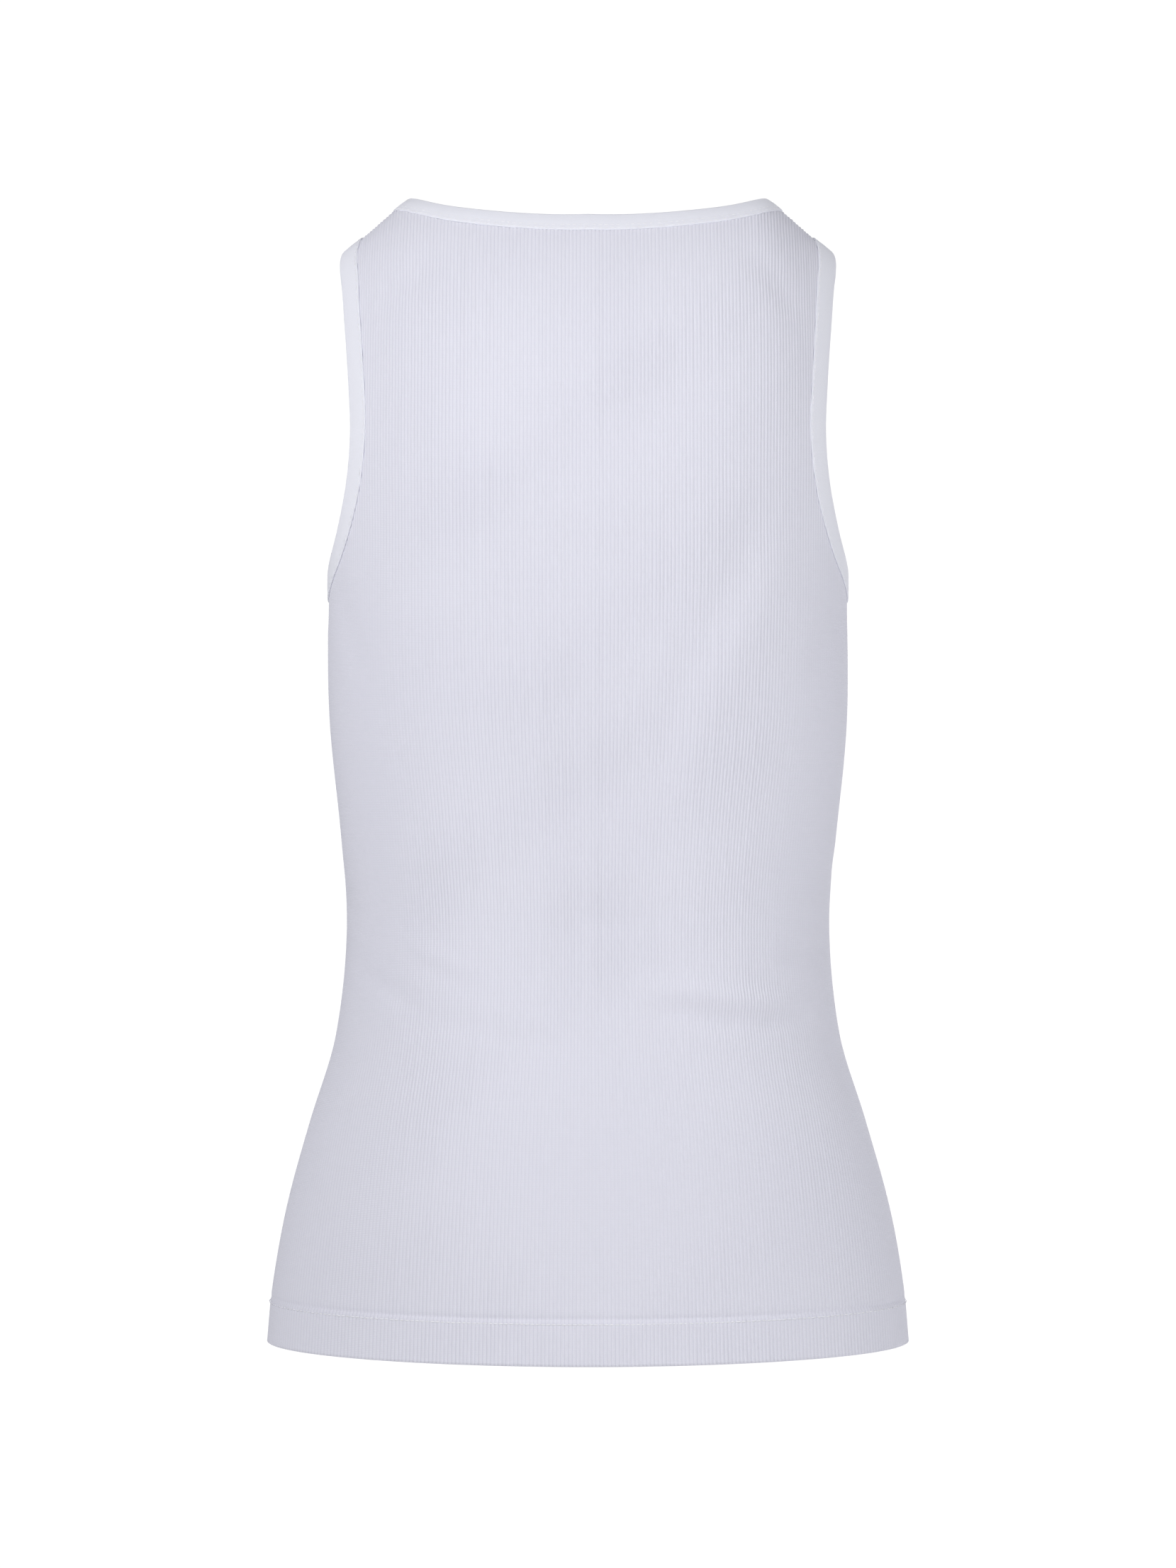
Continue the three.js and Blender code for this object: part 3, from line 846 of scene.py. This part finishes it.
pieces = {
    "back": makePanel("back", backFolds),
    "front": makePanel("front", frontFolds),
}
print("panels made")
pieces["neck"] = makeTape("neck_tape", neckEdge, neckTape)
pieces["armLeft"] = makeTape("armhole_tape_left", armEdges["left"], armTape)
pieces["armRight"] = makeTape("armhole_tape_right", armEdges["right"], armTape)
print("tapes made")
sewing = [
    edgeStitches("neck_stitches", neckEdge, neckTape),
    edgeStitches("armhole_stitches_left", armEdges["left"], armTape),
    edgeStitches("armhole_stitches_right", armEdges["right"], armTape),
    hemStitches(),
]
print("stitches made")

stands = {
    "back": ("back", "rib_knit"),
    "front": ("front", "rib_knit"),
    "neck": ("neck_binding", "binding"),
    "armLeft": ("armhole_binding_left", "binding"),
    "armRight": ("armhole_binding_right", "binding"),
}
for key, (node, slotName) in stands.items():
    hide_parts(node)
    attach(pieces[key], "root")
for piece in sewing:
    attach(piece, "root")

view = {
    "distance": 2.5,
    "height": 290.5,  # above the hem
    "frameHeight": 2212 * 0.37,  # millimetres shown at the plane of the side seams
    "sensor": 36,
    "farthest": 100,
}


# Turns a light or camera so that it looks at the target.
def aim(item, target):
    direction = np.array(target, float) - np.array(item.location)
    item.rotation_euler = (
        math.atan2(math.hypot(direction[0], direction[1]), -direction[2]),
        0,
        math.atan2(direction[1], direction[0]) - math.pi / 2,
    )


def makeCamera():
    camera = bpy.data.objects.new("camera", bpy.data.cameras.new("camera"))
    bpy.context.scene.collection.objects.link(camera)
    camera.location = (0, -view["distance"], (view["height"] - heldHeight) * mm)
    camera.rotation_euler = (math.pi / 2, 0, 0)
    camera.data.sensor_width = view["sensor"]
    camera.data.lens = view["sensor"] * view["distance"] / (view["frameHeight"] * mm)
    camera.data.clip_end = view["farthest"]
    bpy.context.scene.camera = camera


studio = {
    "world": 0.27,
    "worldColour": (0.97, 0.98, 1, 1),
    "backdrop": 1.05,
    "white": (1, 1, 1, 1),
    "target": (0, 0, -0.28),  # the lamps are aimed here
    "lights": {
        "key": {"place": (-1.6, -2.4, 0.6), "size": 1.2, "power": 18.5},
        "left": {"place": (-0.9, -0.8, 0.4), "size": 0.7, "power": 6.8},
        "right": {"place": (1.1, -0.9, 0.3), "size": 0.8, "power": 6.6},
        "low": {"place": (1.2, -1.2, -0.5), "size": 0.8, "power": 4.2},
        "top": {"place": (0, 0.3, 2.4), "size": 2.5, "power": 2},
        "rear": {"place": (0.6, 2.6, 0.3), "size": 2, "power": 36},
    },
}


def makeLights():
    for name, lamp in studio["lights"].items():
        data = bpy.data.lights.new(name, "AREA")
        data.shape = "DISK"
        data.size = lamp["size"]
        data.energy = lamp["power"]
        light = bpy.data.objects.new(name, data)
        light.location = lamp["place"]
        bpy.context.scene.collection.objects.link(light)
        aim(light, studio["target"])
        light.visible_camera = False


# The first shader where the share is 0, the second where it is 1, and a blend between.
def mixShaders(tree, share, first, second):
    mix = tree.nodes.new("ShaderNodeMixShader")
    for place, output in enumerate((share, first.outputs[0], second.outputs[0])):
        link(tree, output, mix.inputs[place])
    return mix.outputs[0]


# White behind the object, and a softer white as the light that falls on it.
def makeWorld():
    world = bpy.data.worlds.new("studio")
    bpy.context.scene.world = world
    world.use_nodes = True
    tree = world.node_tree
    tree.nodes.clear()
    seen = tree.nodes.new("ShaderNodeBackground")
    seen.inputs["Color"].default_value = studio["white"]
    seen.inputs["Strength"].default_value = studio["backdrop"]
    lit = tree.nodes.new("ShaderNodeBackground")
    lit.inputs["Color"].default_value = studio["worldColour"]
    lit.inputs["Strength"].default_value = studio["world"]
    path = tree.nodes.new("ShaderNodeLightPath")
    output = tree.nodes.new("ShaderNodeOutputWorld")
    mixed = mixShaders(tree, path.outputs["Is Camera Ray"], lit, seen)
    link(tree, mixed, output.inputs["Surface"])


floorLook = {
    "height": -1.2,
    "radius": 2.6,
    "sides": 96,
    "colour": (0.9, 0.9, 0.9, 1),
    "roughness": 0.9,
    "glow": 0.08,
    "seenWhite": 0.85,  # how far the camera sees the floor as the backdrop's white
}


def floorMaterial():
    material = bpy.data.materials.new("floor")
    material.use_nodes = True
    tree = material.node_tree
    shader = tree.nodes["Principled BSDF"]
    shader.inputs["Base Color"].default_value = floorLook["colour"]
    shader.inputs["Roughness"].default_value = floorLook["roughness"]
    shader.inputs["Emission Color"].default_value = studio["white"]
    shader.inputs["Emission Strength"].default_value = floorLook["glow"]
    path = tree.nodes.new("ShaderNodeLightPath")
    share = mathNode(tree, "MULTIPLY", path.outputs["Is Camera Ray"], floorLook["seenWhite"])
    white = tree.nodes.new("ShaderNodeEmission")
    white.inputs["Strength"].default_value = studio["backdrop"]
    link(tree, mixShaders(tree, share, shader, white), tree.nodes["Material Output"].inputs["Surface"])
    return material


# A round pale floor, below the held garment.
def makeFloor():
    sides = floorLook["sides"]
    angle = 2 * math.pi * np.arange(sides) / sides
    ring = np.stack([np.cos(angle), np.sin(angle), np.zeros(sides)], -1) * floorLook["radius"]
    ring[:, 2] = floorLook["height"]
    mesh = bpy.data.meshes.new("floor")
    mesh.from_pydata(ring.tolist(), [], [list(range(sides))])
    floor = bpy.data.objects.new("floor", mesh)
    bpy.context.scene.collection.objects.link(floor)
    mesh.materials.append(floorMaterial())


makeCamera()
makeLights()
makeWorld()
makeFloor()
bpy.context.scene.view_settings.view_transform = "Standard"
print("studio made")

bpy.context.view_layer.update()
